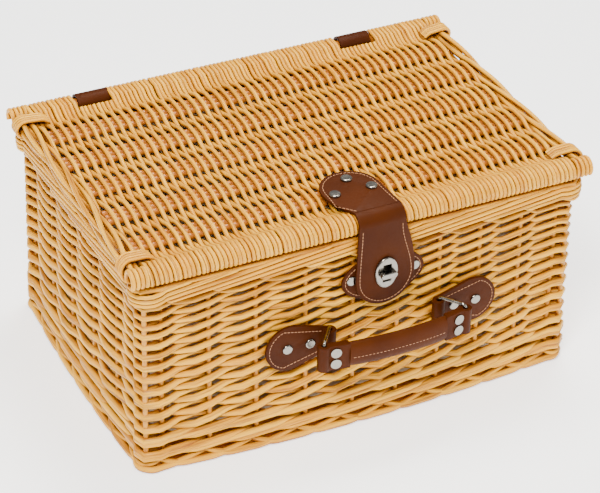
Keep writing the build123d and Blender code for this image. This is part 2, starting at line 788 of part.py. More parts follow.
with BuildPart() as tab_rivets:
    front_rivets(tab_rivets, tab_rivet_places, tab_outer, flat_rivet_height + 0.4,
                 tab_inner - rivet_bite)
tab_rivets.part.label = "tab_rivets"
export_step(tab_rivets.part, "parts/tab_rivets.step")
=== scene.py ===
# %% [markdown]
# # A willow hamper
# The hamper is a closed box of willow rods: twined walls on upright stakes, a lid woven on five bands of
# sticks, a plaited border at the foot and the rim, a leather closure strap with a turn lock, and a
# leather handle on two wire rings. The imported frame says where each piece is, so the first cell loads it
# and keeps its size.

from math import cos, pi, radians, sin, sqrt

import bpy
import numpy as np
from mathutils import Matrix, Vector


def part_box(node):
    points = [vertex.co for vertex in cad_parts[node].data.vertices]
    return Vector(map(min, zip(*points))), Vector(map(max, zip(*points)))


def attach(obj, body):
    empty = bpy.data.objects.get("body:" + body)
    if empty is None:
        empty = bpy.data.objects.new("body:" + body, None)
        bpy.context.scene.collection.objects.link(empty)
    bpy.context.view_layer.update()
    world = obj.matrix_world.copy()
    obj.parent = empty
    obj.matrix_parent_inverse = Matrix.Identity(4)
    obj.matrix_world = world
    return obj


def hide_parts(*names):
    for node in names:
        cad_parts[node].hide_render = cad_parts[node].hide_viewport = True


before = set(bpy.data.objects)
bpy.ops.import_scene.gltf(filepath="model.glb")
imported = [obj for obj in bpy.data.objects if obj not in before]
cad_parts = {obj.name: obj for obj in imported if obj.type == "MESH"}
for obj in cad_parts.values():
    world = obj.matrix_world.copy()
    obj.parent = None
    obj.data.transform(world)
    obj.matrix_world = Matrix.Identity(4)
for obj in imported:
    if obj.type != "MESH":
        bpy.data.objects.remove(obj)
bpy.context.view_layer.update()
bpy.ops.object.select_all(action="DESELECT")
mm = 0.001
willow_luck = np.random.default_rng(11)
x_axis, y_axis, z_axis = (1, 0, 0), (0, 1, 0), (0, 0, 1)
outwards_front = (0, -1, 0)

lid_low, lid_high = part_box("lid_weave")
foot_low, foot_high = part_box("foot_border")
middle_y = (foot_low.y + foot_high.y) / 2
rail_low, rail_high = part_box("front_rail")
front_rail_y = (rail_low.y + rail_high.y) / 2
back_rail_y = 2 * middle_y - front_rail_y
rail_z = (rail_low.z + rail_high.z) / 2
rail_out = (back_rail_y - front_rail_y) / 2

# %% [markdown]
# ## Rods
# Nearly everything here is a willow rod laid along a path. A rod could be a curve with a bevel, but
# hundreds of curves are slow, and a curve can't carry a number of its own for each rod's colour.
# So one straight rod is modelled once: a cylinder of a few sides, cut into rings. An array repeats it,
# and then each copy's rings are carried to their own path. Each copy keeps its own attributes: how far
# along it a place is, and a number of its own that its colour is mixed with.


# %% One straight rod, repeated
def straight_rods(name, count, rings, sides):
    """count rods of radius 1, one above the other, each of so many rings over a height of 1."""
    bpy.ops.mesh.primitive_cylinder_add(vertices=sides, radius=1, depth=1, location=(0, 0, 0.5))
    rods = bpy.context.object
    rods.name = name
    bpy.ops.object.transform_apply(location=True, rotation=True, scale=True)
    mesh = rods.data
    bpy.context.tool_settings.mesh_select_mode = (False, True, False)
    bpy.ops.object.mode_set(mode="EDIT")
    bpy.ops.mesh.select_all(action="DESELECT")
    bpy.ops.object.mode_set(mode="OBJECT")
    for edge in mesh.edges:
        low, high = (mesh.vertices[v].co.z for v in edge.vertices)
        edge.select = abs(high - low) > 0.5
    bpy.ops.object.mode_set(mode="EDIT")
    bpy.ops.mesh.subdivide(number_cuts=rings - 2)
    bpy.ops.object.mode_set(mode="OBJECT")
    if count > 1:
        array = rods.modifiers.new("repeat", "ARRAY")
        array.count = count
        array.use_relative_offset = False
        array.use_constant_offset = True
        array.constant_offset_displace = (0, 0, 2)
        bpy.ops.object.modifier_apply(modifier="repeat")
    return rods


def smooth_all(piece, angle=50):
    """Shades a piece smooth up to an angle."""
    bpy.ops.object.select_all(action="DESELECT")
    piece.select_set(True)
    bpy.context.view_layer.objects.active = piece
    bpy.ops.object.shade_smooth_by_angle(angle=radians(angle))
    piece.select_set(False)


def resample(path, rings):
    """The same path with evenly spaced points."""
    path = np.asarray(path, float)
    steps = np.linalg.norm(np.diff(path, axis=0), axis=1)
    length = np.concatenate([[0], np.cumsum(steps)])
    at = np.linspace(0, length[-1], rings)
    return np.stack([np.interp(at, length, path[:, k]) for k in range(3)], axis=1), length[-1]


def lay_rods(name, paths, radius, rings, sides=8, up=z_axis, flatness=1.0, even=True, girth=None):
    """Rods of a radius along paths. flatness squeezes them along up, girth makes them thinner in places."""
    rods = straight_rods(name, len(paths), rings, sides)
    mesh = rods.data
    count = len(mesh.vertices)
    co = np.zeros(count * 3)
    mesh.vertices.foreach_get("co", co)
    co = co.reshape(-1, 3)
    which = np.minimum(np.floor((co[:, 2] + 0.01) / 2).astype(int), len(paths) - 1)
    share = np.clip(co[:, 2] - 2 * which, 0, 1)
    ring = np.rint(share * (rings - 1)).astype(int)
    out = np.zeros_like(co)
    along = np.zeros(count)
    for k, path in enumerate(paths):
        if even:
            points, length = resample(path, rings)
        else:
            points = np.asarray(path, float)
            length = np.linalg.norm(np.diff(points, axis=0), axis=1).sum()
        tangent = np.gradient(points, axis=0)
        tangent /= np.linalg.norm(tangent, axis=1, keepdims=True) + 1e-12
        lift = np.tile(np.asarray(up, float), (rings, 1))
        side = np.cross(tangent, lift)
        side /= np.linalg.norm(side, axis=1, keepdims=True) + 1e-12
        lift = np.cross(side, tangent)
        mine = which == k
        r = radius[k] if hasattr(radius, "__len__") else radius
        spot = ring[mine]
        thin = r if girth is None else r * girth(points)[spot]
        across = co[mine, 0] * thin
        above = co[mine, 1] * thin * flatness
        out[mine] = points[spot] + side[spot] * across[:, None] + lift[spot] * above[:, None]
        along[mine] = share[mine] * length
    mesh.vertices.foreach_set("co", out.ravel())
    own = willow_luck.random(len(paths))[which]
    turn = np.arctan2(co[:, 1], co[:, 0]) / (2 * pi) + 0.5
    for label, values in (("own", own), ("along", along), ("turn", turn)):
        mesh.attributes.new(label, "FLOAT", "POINT").data.foreach_set("value", values)
    mesh.update()
    smooth_all(rods, 60)
    print(name, len(paths), "rods", len(mesh.polygons), "faces")
    return rods


def dress(piece, material, body, *nodes, slot=None):
    """Gives a piece its material, the body it rides on and the nodes it stands for."""
    piece.data.materials.clear()
    piece.data.materials.append(material)
    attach(piece, body)
    if nodes:
        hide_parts(*nodes)
    return piece


# %% [markdown]
# ## Varnished willow
# Peeled willow is straw-coloured, and each rod has a tone of its own. A flat colour looks like
# plastic. The material mixes two straw tones by each rod's own number, adds streaks and fine flecks
# that follow the rod, and paints shade into the gaps as a darker orange, found with ambient
# occlusion.


# %% The willow material
def new_material(name):
    """An empty node material and its shader."""
    material = bpy.data.materials.new(name)
    material.use_nodes = True
    return material, material.node_tree, material.node_tree.nodes["Principled BSDF"]


def add_node(tree, kind, **settings):
    """A node with its inputs set: numbers by socket name, settings by property name."""
    node = tree.nodes.new(kind)
    for key, value in settings.items():
        if key in node.inputs:
            node.inputs[key].default_value = value
        else:
            setattr(node, key, value)
    return node


def mix_colours(tree, factor, first, second):
    """A colour mix node, its factor and colours linked or set."""
    node = tree.nodes.new("ShaderNodeMix")
    node.data_type = "RGBA"
    for socket, value in ((node.inputs[0], factor), (node.inputs[6], first), (node.inputs[7], second)):
        if hasattr(value, "links"):
            tree.links.new(value, socket)
        else:
            socket.default_value = value
    return node.outputs[2]


def sums(tree, operation, first, second):
    """A math node, its values linked or set."""
    node = tree.nodes.new("ShaderNodeMath")
    node.operation = operation
    for socket, value in zip(node.inputs, (first, second)):
        if hasattr(value, "links"):
            tree.links.new(value, socket)
        else:
            socket.default_value = value
    return node.outputs[0]


def spread(tree, value, low, high, to_low=0.0, to_high=1.0):
    """A value mapped from one range to another and held inside it."""
    node = tree.nodes.new("ShaderNodeMapRange")
    tree.links.new(value, node.inputs[0])
    for socket, number in zip(node.inputs[1:5], (low, high, to_low, to_high)):
        socket.default_value = number
    return node.outputs[0]


def attribute(tree, name):
    """A rod's own attribute."""
    return add_node(tree, "ShaderNodeAttribute", attribute_name=name).outputs["Fac"]


def three_way(tree, *values):
    """Three values as one vector."""
    node = tree.nodes.new("ShaderNodeCombineXYZ")
    for socket, value in zip(node.inputs, values):
        tree.links.new(value, socket)
    return node.outputs[0]


def noise_at(tree, place, scale, **settings):
    """Noise read at a place."""
    node = add_node(tree, "ShaderNodeTexNoise", Scale=scale, **settings)
    tree.links.new(place, node.inputs["Vector"])
    return node.outputs[0]


def object_place(tree):
    """Object coordinates."""
    return tree.nodes.new("ShaderNodeTexCoord").outputs["Object"]


def painted_shade_amount(tree, distance, low, high, most):
    """How much painted shade a place gets from ambient occlusion: most in a gap, none on an open face."""
    node = add_node(tree, "ShaderNodeAmbientOcclusion", Distance=distance)
    node.samples = 6
    return spread(tree, node.outputs["AO"], low, high, most, 0.0)


def bumpy(tree, shader, height, strength, distance):
    """Lets a height tilt the shader's normal."""
    node = add_node(tree, "ShaderNodeBump", Strength=strength, Distance=distance)
    tree.links.new(height, node.inputs["Height"])
    tree.links.new(node.outputs[0], shader.inputs["Normal"])


def willow_material(name, pale, warm, deep):
    """Varnished willow on laid rods."""
    material, tree, shader = new_material(name)
    own, along, turn = (attribute(tree, label) for label in ("own", "along", "turn"))

    def place(*factors):
        """Along the rod, round it and from rod to rod, each stretched."""
        values = zip((along, turn, own), factors)
        return three_way(tree, *(sums(tree, "MULTIPLY", value, factor) for value, factor in values))

    streaks = noise_at(tree, place(14.0, 5.0, 90.0), 1.0, Detail=4.0, Roughness=0.6)
    grain = noise_at(tree, place(60.0, 26.0, 57.0), 1.0, Detail=3.0)
    tone = mix_colours(tree, spread(tree, own, 0.1, 0.9), pale, warm)
    streaked = mix_colours(tree, spread(tree, streaks, 0.48, 0.72), tone, deep)
    fleck = mix_colours(tree, spread(tree, grain, 0.45, 0.8, 0.0, 0.35), streaked, warm)
    # Painted shade: ambient occlusion pulls the colour towards the deep orange in the gaps between rods.
    colour = mix_colours(tree, painted_shade_amount(tree, 0.007, 0.3, 1.0, 0.95), fleck, deep)
    tree.links.new(colour, shader.inputs["Base Color"])
    shader.inputs["Roughness"].default_value = 0.36
    shader.inputs["Specular IOR Level"].default_value = 0.2
    shader.inputs["Coat Weight"].default_value = 0.05
    shader.inputs["Coat Roughness"].default_value = 0.3
    bumpy(tree, shader, grain, 0.25, 0.0004)
    return material


# The third colour is both the dark of the streaks and the painted shade in the gaps.
straw, honey, streak_and_painted_shade = (0.84, 0.44, 0.024, 1), (0.74, 0.34, 0.012, 1), (0.22, 0.052, 0.001, 1)
willow = willow_material("willow", straw, honey, streak_and_painted_shade)
print("material", willow.name)

# %% [markdown]
# ## Where the walls go
# The walls lean and belly out a little towards the foot, and the weavers run round all four of them and
# round the corners. A place on the walls is a height and a count of stakes: the tenths between two
# whole numbers are the way from one stake to the next. The stakes come straight from the frame.

# %% The walls' own coordinates
stake_gap = 12 * mm
end_zone = 10 * mm


def stake_feet(node):
    """The lower and upper centre of each stake of a CAD node, in the order of their places."""
    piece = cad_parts[node]
    mesh = piece.data
    co = np.array([v.co for v in mesh.vertices])
    axis = 0 if np.ptp(co[:, 0]) > np.ptp(co[:, 1]) else 1
    sorted_co = co[np.argsort(co[:, axis])]
    gaps = np.nonzero(np.diff(sorted_co[:, axis]) > stake_gap)[0]
    ends = []
    for group in np.split(sorted_co, gaps + 1):
        height = group[:, 2]
        low = group[height < height.min() + end_zone].mean(axis=0)
        high = group[height > height.max() - end_zone].mean(axis=0)
        ends.append((low, high))
    return ends


front_stakes = stake_feet("front_stakes")
right_stakes = stake_feet("right_stakes")
left_stakes = stake_feet("left_stakes")
print("stakes", len(front_stakes), len(right_stakes), "first", front_stakes[0])


def corner_centre(sx, sy, height):
    """The corner post's centre at a height."""
    end_low, end_high = front_stakes[0]
    t = (height - end_low[2]) / (end_high[2] - end_low[2])
    x = corner_low_x + (corner_high_x - corner_low_x) * t
    y = corner_low_y + (corner_high_y - corner_low_y) * t
    return np.array([sx * x, middle_y + sy * y, height])


posts = np.array([v.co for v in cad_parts["corner_posts"].data.vertices])
right_back = posts[(posts[:, 0] > 0) & (posts[:, 1] > middle_y)]
low_end = right_back[right_back[:, 2] < right_back[:, 2].min() + end_zone].mean(axis=0)
high_end = right_back[right_back[:, 2] > right_back[:, 2].max() - end_zone].mean(axis=0)
corner_low_x, corner_low_y = low_end[0], low_end[1] - middle_y
corner_high_x, corner_high_y = high_end[0], high_end[1] - middle_y


def at_height(ends, height):
    low, high = ends
    t = (height - low[2]) / (high[2] - low[2])
    point = low + (high - low) * t
    return np.array([point[0], point[1], height])


def stake_ring(height):
    """The centres of all the stakes at a height, from the front left corner, with the sun's turn reversed."""
    front_line = [at_height(ends, height) for ends in front_stakes]
    ring = [corner_centre(-1, -1, height)] + front_line
    ring.append(corner_centre(1, -1, height))
    ring += [at_height(ends, height) for ends in right_stakes]
    ring.append(corner_centre(1, 1, height))
    ring += [np.array([p[0], 2 * middle_y - p[1], p[2]]) for p in front_line[::-1]]
    ring.append(corner_centre(-1, 1, height))
    ring += [at_height(ends, height) for ends in left_stakes][::-1]
    return np.array(ring)


stake_total = len(stake_ring(0.1))
corner_counts = (0, 11, 18, 29)
wall_steps = 16
corner_bend = 9.0 * mm
corner_push = 2.4 * mm
upper_height = 180 * mm


def even_points(path, count):
    """count points along a path, without its last one."""
    return resample(path, count + 1)[0][:-1]


def ring_line(height):
    """A closed line through the stakes at a height, round at the corners: wall_steps points a space."""
    stakes = stake_ring(height)
    line = []
    for k in range(stake_total):
        start, stop = stakes[k], stakes[(k + 1) % stake_total]
        after = (k + 1) % stake_total
        if after in corner_counts:
            beyond = stakes[(k + 2) % stake_total]
            line.append(even_points(half_corner(start, stop, beyond), wall_steps))
        elif k in corner_counts:
            line.append(even_points(half_corner(stop, start, stakes[k - 1])[::-1], wall_steps))
        else:
            line.append(even_points(np.array([start, stop]), wall_steps))
    return np.concatenate(line)


def half_corner(start, corner, beyond):
    """The way from a stake to the middle of the rounded corner that comes next."""
    into = (corner - start) / np.linalg.norm(corner - start)
    leave = (beyond - corner) / np.linalg.norm(beyond - corner)
    corner = corner + (into - leave) * corner_push
    bend = min(corner_bend, 0.8 * np.linalg.norm(corner - start))
    centre = corner - into * bend + leave * bend
    arc = [centre - leave * bend * cos(a) + into * bend * sin(a) for a in np.linspace(0, pi / 4, 7)]
    return np.array([start] + arc)


def soften(line, rounds=3):
    """The line with its slight kinks at the stakes taken out."""
    for _ in range(rounds):
        line = 0.25 * np.roll(line, 1, axis=0) + 0.5 * line + 0.25 * np.roll(line, -1, axis=0)
    return line


line_low = soften(ring_line(0.0))
line_high = soften(ring_line(upper_height))
line_size = stake_total * wall_steps
ahead = np.roll(line_high, -2, axis=0) - np.roll(line_high, 2, axis=0)
line_normal = soften(np.stack([ahead[:, 1], -ahead[:, 0], np.zeros(line_size)], axis=1))
line_normal /= np.linalg.norm(line_normal, axis=1, keepdims=True)
line_middle = (line_low + line_high) / 2
line_step = np.linalg.norm(np.roll(line_middle, -1, axis=0) - line_middle, axis=1)
line_length = np.concatenate([[0], np.cumsum(line_step)])
round_length = line_length[-1]


def wall_points(count, height, outwards):
    """Places on the walls at counts of stakes, heights, and distances out of the middle of the wall."""
    count, height, outwards = np.broadcast_arrays(*(np.asarray(v, float) for v in (count, height, outwards)))
    at = (count % stake_total) * wall_steps
    i = np.floor(at).astype(int) % line_size
    j = (i + 1) % line_size
    t = (at - np.floor(at))[:, None]
    h = (height / upper_height)[:, None]
    low = line_low[i] * (1 - t) + line_low[j] * t
    high = line_high[i] * (1 - t) + line_high[j] * t
    normal = line_normal[i] * (1 - t) + line_normal[j] * t
    points = low * (1 - h) + high * h + normal * outwards[:, None]
    points[:, 2] = height
    return points


def count_at(distance):
    """The count of stakes at a distance along the wall, in metres from the front left corner."""
    turns = np.floor(distance / round_length)
    at = np.interp(distance - turns * round_length, line_length, np.arange(line_size + 1))
    return at / wall_steps + turns * stake_total


def waves_at(count):
    """How many half waves of weaving there are up to a count: the three stakes at a corner share one."""
    steps = [0]
    for k in range(stake_total):
        beside_corner = k in corner_counts or (k + 1) % stake_total in corner_counts
        steps.append(steps[-1] + (0 if beside_corner else 1))
    turns = np.floor(count / stake_total)
    return np.interp(count - turns * stake_total, np.arange(stake_total + 1), steps) + turns * steps[-1]


print("stakes all round", stake_total, "length round", round(round_length, 4), "waves", waves_at(stake_total))

# %% [markdown]
# ## The twined walls
# The walls are paired: two rods at a time go round the basket, and at each stake one passes in front
# and the other behind. To the right of a stake the front rod rises and goes behind the next one, while
# its partner comes out from below it. The rods are thicker near the base, so the rows are further apart
# there. Each rod follows one wave in and out and another up and down, and the two rods of a row are
# half a wave apart.

# %% The weavers of the walls
row_heights = np.array([43, 56, 69.5, 82.5, 95, 106.5, 117.5, 128, 138, 147.5, 156.7, 165.8]) * mm
row_pitch = np.gradient(row_heights)
first_count = corner_counts[-1]
round_counts = []
for k in range(first_count, first_count + stake_total):
    beside_corner = k % stake_total in corner_counts or (k + 1) % stake_total in corner_counts
    round_counts += list(np.linspace(k, k + 1, 8 if beside_corner else 13)[:-1])
round_counts = np.array(round_counts + [first_count + stake_total])
round_waves = waves_at(round_counts)


def beside_corner_at(counts):
    """1 at a corner, falling to 0 one stake away from it."""
    distance = np.min([np.abs(counts % stake_total - c) for c in (*corner_counts, stake_total)], axis=0)
    return np.clip(1 - distance, 0, 1)


at_corner = 1 - 0.3 * beside_corner_at(round_counts)


def pair_paths(rows):
    """The two paths round the basket of each row."""
    paths = []
    sizes = []
    for row in rows:
        pitch = row_pitch[row]
        radius = min(3.2 * mm, 0.268 * pitch)
        rise = pitch / 2 - radius + 1.5 * mm
        wobble_phase = willow_luck.random(4) * 2 * pi
        for partner in (0, 1):
            phase = pi * (round_waves + partner + row % 2)
            s = np.sin(phase)
            lift = rise * (0.25 * s + 0.75 * s**3)
            out = (2.9 * np.cos(phase + 0.5 * np.abs(s)) + 0.5) * mm * at_corner
            wobble = 0.45 * mm * np.sin(round_counts * 2 * pi / stake_total * 5 + wobble_phase[partner])
            height = row_heights[row] + lift + wobble
            paths.append(wall_points(round_counts, height, out))
            sizes.append(radius * (0.96 + 0.08 * willow_luck.random()))
    return paths, sizes


for name, rows, nodes in (("lower", range(0, 6), ("front_weave", "left_weave")),
                          ("upper", range(6, 12), ("back_weave", "right_weave"))):
    paths, sizes = pair_paths(rows)
    weavers = lay_rods("wall_weavers_" + name, paths, sizes, len(round_counts), even=False)
    dress(weavers, willow, "body", *nodes, slot="willow")

# %% [markdown]
# ## Wale, rim and foot
# Under the paired rows two rounds of three-rod wale bind the stakes: each rod passes in front of two
# stakes and behind one, so its visible strokes are long and rise to the right. At the rim and at the foot
# the stakes themselves are turned down sideways and plaited into a border. At the rim each one comes out
# low, climbs along the next three and goes in at the top. At the foot each one hooks down and outwards
# and runs along the ground in a flat arc, past the next one, before it lifts and tucks in. Rods behind the
# arcs, in a darker willow that paints their shade, and paler ones inside the rim fill the gaps between the
# strokes.


# %% The base wale
def wale_paths(heights, rise, push):
    """Three rods for each round: in front of two stakes, behind the third."""
    paths = []
    for height in heights:
        for rod in range(3):
            turn = ((round_waves + rod) % 3) / 3
            hidden = np.exp(-(((turn - 0.5) % 1 - 0.5) ** 2) / 0.012)
            climb = (turn - 0.5) * 2
            lift = rise * climb * (1 - hidden)
            out = push * (1 - 2 * hidden)
            paths.append(wall_points(round_counts, height + lift, out))
    return paths


wale_heights = [16.5 * mm, 31.5 * mm]
wale_rod, wale_rise, wale_push = 3.1 * mm, 5.0 * mm, 3.9 * mm
wale_rods = wale_paths(wale_heights, wale_rise, wale_push)
wale = lay_rods("base_wale_rods", wale_rods, wale_rod, len(round_counts), even=False)
dress(wale, willow, "body", "base_wale", slot="willow")


# %% The rim: each stake climbs along the next three
stroke = 41 * mm
stroke_count = round(round_length / stroke)
rim_reach, rim_rod = 3.6, 1.98 * mm


def rim_path(k):
    """The stake end that leaves its place in the k-th space."""
    t = np.linspace(-0.05, 1.06, 64)
    height = (172.0 + 14.8 * np.clip(t, 0, 1.05)) * mm
    into = np.clip(-t / 0.04, 0, 1) + np.clip((t - 0.96) / 0.08, 0, 1)
    out = (8.4 - 10.5 * np.clip(into, 0, 1) + 1.0 * np.sin(pi * np.clip(t, 0, 1))) * mm
    height = height - 1.5 * mm * np.clip((t - 1.0) / 0.07, 0, 1)
    count = count_at((k + t * rim_reach) * round_length / stroke_count)
    return wall_points(count, height, out)


rim = lay_rods("rim_border_rods", [rim_path(k + 0.5) for k in range(stroke_count)], rim_rod, 64)
dress(rim, willow, "body", "rim_wale", "rim_border", slot="willow")


# %% The rim's core, seen between its rods from inside
def band_path(height, out):
    """A closed round at one height."""
    return wall_points(round_counts, height * mm, out * mm)


core_places = [(174.0, -1.0), (179.5, -1.2), (185.0, -1.0), (186.4, 3.0), (186.2, 7.0), (176.5, 3.6),
               (182.0, 4.2), (176.5, -4.2), (182.0, -4.2), (186.4, -3.6)]
core = lay_rods("rim_core_rods", [band_path(*place) for place in core_places], 2.7 * mm, len(round_counts),
                even=False)
dress(core, willow, "body", slot="willow")


# %% The foot: flat arcs that lie over each other, and rods behind them in a darker willow as painted shade
foot_reach, foot_rod, foot_core_rod = 2.1, 3.2 * mm, 3.6 * mm


def foot_path(k):
    """One stake end turned into the foot border."""
    t = np.linspace(-0.1, 1, 56)
    hook = np.clip(1 - (t + 0.1) / 0.36, 0, 1) ** 2
    lifted = np.clip((t - 0.5) / 0.5, 0, 1) ** 1.5
    height = (3.5 + 11.0 * hook + 7.0 * lifted) * mm
    count = count_at((k + t * foot_reach) * round_length / stroke_count)
    out = (5.6 - 8.5 * hook - 6.5 * lifted - 3.0 * beside_corner_at(count)) * mm
    return wall_points(count, height, out)


foot = lay_rods("foot_border_rods", [foot_path(k + 0.3) for k in range(stroke_count)], foot_rod, 56)
dress(foot, willow, "body", "foot_border", slot="willow")
foot_core_places = [(4.0, -0.8), (4.2, -6.4), (9.6, -3.6), (14.6, -4.8)]
foot_core = lay_rods("foot_core_rods", [band_path(*place) for place in foot_core_places], foot_core_rod,
                     len(round_counts), even=False)

# %% [markdown]
# ## Stakes, sticks and the base
# The straight stakes and sticks already have their real shape in the frame, so they stay and get a
# willow of their own, which reads Object coordinates because these pieces carry no rod attributes.
# The base is woven like the lid: rods pass over and under pairs of sticks.


# %% Willow for the frame's own straight rods
def plain_willow(name, stretch, tones):
    """Varnished willow with its grain along one axis."""
    material, tree, shader = new_material(name)
    mapping = add_node(tree, "ShaderNodeMapping", Scale=stretch)
    tree.links.new(object_place(tree), mapping.inputs[0])
    noise = noise_at(tree, mapping.outputs[0], 1.0, Detail=4.0, Roughness=0.6)
    tone = mix_colours(tree, spread(tree, noise, 0.3, 0.7), *tones)
    # Painted shade: ambient occlusion pulls the colour towards a deep orange in the gaps.
    shade = painted_shade_amount(tree, 0.012, 0.15, 0.85, 0.7)
    tree.links.new(mix_colours(tree, shade, tone, (0.36, 0.105, 0.012, 1)), shader.inputs["Base Color"])
    shader.inputs["Roughness"].default_value = 0.4
    bumpy(tree, shader, noise, 0.2, 0.0004)
    return material


def keep_node(node, material):
    """Gives a material to a CAD node that has the right shape already."""
    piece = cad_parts[node]
    piece.data.materials.clear()
    piece.data.materials.append(material)


straw_tones = ((0.66, 0.30, 0.010, 1), (0.50, 0.19, 0.004, 1))
amber_tones = ((0.50, 0.17, 0.006, 1), (0.30, 0.075, 0.001, 1))
upright_willow = plain_willow("upright_willow", (400, 400, 30), straw_tones)
lying_willow = plain_willow("lying_willow", (30, 400, 400), amber_tones)
for node in ("front_stakes", "back_stakes", "left_stakes", "right_stakes", "corner_posts"):
    keep_node(node, upright_willow)
for node in ("base_sticks", "lid_sticks", "front_rail", "back_rail"):
    keep_node(node, lying_willow)
# The foot's core rods take the darker lying willow as painted shade behind the arcs.
dress(foot_core, lying_willow, "body", slot="willow")
print("materials", upright_willow.name, lying_willow.name)


# %% Weavers over and under groups of sticks
def over_under(y, groups, half_group, height, parity):
    """The height of a weaver above the sticks' middle: a smooth step between the groups of sticks."""
    level = np.zeros_like(y)
    for k, centre in enumerate(groups):
        side = 1 if (k + parity) % 2 == 0 else -1
        gap = abs(groups[1] - groups[0]) / 2
        near = np.clip((gap - np.abs(y - centre)) / (gap - half_group), 0, 1)
        level += side * near * near * (3 - 2 * near)
    return height * level


base_low, base_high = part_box("base_weave")
base_groups = [-88 * mm, -42 * mm, 0.0, 42 * mm, 88 * mm]
base_middle = (base_low.z + base_high.z) / 2
base_paths = []
base_y = np.linspace(-1, 1, 90) * ((base_high.y - base_low.y) / 2 - 4 * mm)
base_rod, base_pitch = 2.2 * mm, 5.2 * mm
base_x = np.arange(base_low.x + 8 * mm, base_high.x - 6 * mm, base_pitch)
for i, x in enumerate(base_x):
    z = over_under(base_y, base_groups, 6 * mm, 3.1 * mm, i % 2)
    base_paths.append(np.stack([np.full_like(base_y, x), base_y + middle_y, base_middle + z], axis=1))
base_rods = lay_rods("base_weavers", base_paths, base_rod, 90, sides=6, even=False)
dress(base_rods, willow, "body", "base_weave", slot="willow")

# %% [markdown]
# ## The woven lid
# The lid is a mat of thin rods that run from the front rail to the back one. They pass over and under
# five bands of three sticks, and neighbours take turns. At each rail every rod goes right round and comes
# back under the mat, which gives the lid its tight corded edges. A texture would look flat at the edges
# and where the rods dip, so each rod is laid on its own path.


# %% The lid's weavers
stick_bands = [-90 * mm, -45 * mm, 0.0, 45 * mm, 90 * mm]
wrap_radius = 7.3 * mm
lid_pitch = 3.98 * mm
lid_rod = 2.12 * mm
lid_rings = 124
hinge_boxes = [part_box("hinge_strap_left"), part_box("hinge_strap_right")]


def lid_path(x, parity):
    """One weaver: under the mat, round the front rail, across the lid, round the back rail."""
    reach = rail_out - 2 * mm
    flat = np.linspace(-reach, reach, 100)
    flat_z = over_under(flat, stick_bands, 7 * mm, 5.2 * mm, parity)
    edge = np.clip((np.abs(flat) - (rail_out - 22 * mm)) / (20 * mm), 0, 1)
    edge = edge * edge * (3 - 2 * edge)
    flat_z = flat_z * (1 - edge) + wrap_radius * edge
    around = np.linspace(0.42 * pi, -0.62 * pi, 14)
    front = np.stack([-rail_out - wrap_radius * np.cos(around), wrap_radius * np.sin(around)], axis=1)[::-1]
    tail = np.array([[-rail_out + 11 * mm, -wrap_radius + 0.6 * mm], [-rail_out + 5 * mm, -wrap_radius]])
    y = np.concatenate([tail[:, 0], front[:, 0], flat, -front[::-1, 0], -tail[::-1, 0]])
    z = np.concatenate([tail[:, 1], front[:, 1], flat_z, front[::-1, 1], tail[::-1, 1]])
    slant = (np.abs(y) > rail_out - 6 * mm) * np.clip(-z / wrap_radius, -1, 1) * 1.3 * mm
    return np.stack([x + slant, middle_y + y, rail_z + z], axis=1)


def under_strap(x):
    """Whether a weaver would pass through a hinge strap."""
    return any(low.x - 2 * mm < x < high.x + 2 * mm for low, high in hinge_boxes)


def short_wrap(x, side):
    """A turn round a rail's end, beside the last weavers."""
    around = np.linspace(-0.2 * pi, 1.25 * pi, 24)
    y = side * (rail_out + wrap_radius * np.cos(around))
    z = wrap_radius * np.sin(around)
    return np.stack([np.full(24, x), middle_y + y, rail_z + z], axis=1)


lid_count = round((lid_high.x - lid_low.x - 4 * mm) / lid_pitch) + 1
lid_x = np.linspace(lid_low.x + 2 * mm, lid_high.x - 2 * mm, lid_count)
lid_paths = []
lid_sizes = []
for i, x in enumerate(lid_x):
    path = lid_path(x + 0.25 * mm * willow_luck.normal(), i % 2)
    if under_strap(x):
        path = path[path[:, 1] < middle_y + rail_out - 12 * mm]
    lid_paths.append(resample(path, lid_rings)[0])
    lid_sizes.append(lid_rod * (0.95 + 0.1 * willow_luck.random()))
half = len(lid_paths) // 2
for name, chosen, nodes in (("left", slice(0, half), ("lid_weave",)),
                            ("right", slice(half, None), ("front_wrap", "back_wrap"))):
    weavers = lay_rods("lid_weavers_" + name, lid_paths[chosen], lid_sizes[chosen], lid_rings, up=x_axis)
    dress(weavers, willow, "lid", *nodes, slot="willow")

end_wraps = []
for turn in range(1, 5):
    for end_x in (lid_x[0] - turn * lid_pitch, lid_x[-1] + turn * lid_pitch):
        end_wraps += [short_wrap(end_x, side) for side in (-1, 1)]
wraps = lay_rods("rail_end_wraps", end_wraps, lid_rod, 24, up=x_axis)
dress(wraps, willow, "lid", slot="willow")


# %% The plaited sides of the lid
def plait_paths(x, side):
    """Rods that run along a side of the lid and change places slowly."""
    paths = []
    y = np.linspace(-1, 1, 110)
    waist = 1 - 0.35 * np.exp(-((np.abs(y) - 0.93) / 0.1) ** 2)
    for layer, (strands, turns, width, height) in enumerate(((3, 1.5, 4.6, 2.4), (3, -1.0, 5.0, 3.0))):
        for k in range(strands):
            angle = 2 * pi * (side * turns * y / 2 + k / strands + 0.17 * layer)
            dx = width * mm * np.cos(angle) * waist
            dz = (height * np.sin(angle) + (2.4 if layer == 0 else -2.6)) * mm
            bow = -side * 2.2 * mm * (1 - y**2)
            paths.append(np.stack([x + dx + bow, middle_y + y * (rail_out + 1.0 * mm), rail_z + dz], axis=1))
    return paths


plait_rod = 2.3 * mm
for name, side in (("left", -1), ("right", 1)):
    low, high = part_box(name + "_border")
    centre_x = (low.x + high.x) / 2 + side * 0.6 * mm
    plait = lay_rods(name + "_border_rods", plait_paths(centre_x, side), plait_rod, 110, even=False)
    dress(plait, willow, "lid", name + "_border", slot="willow")


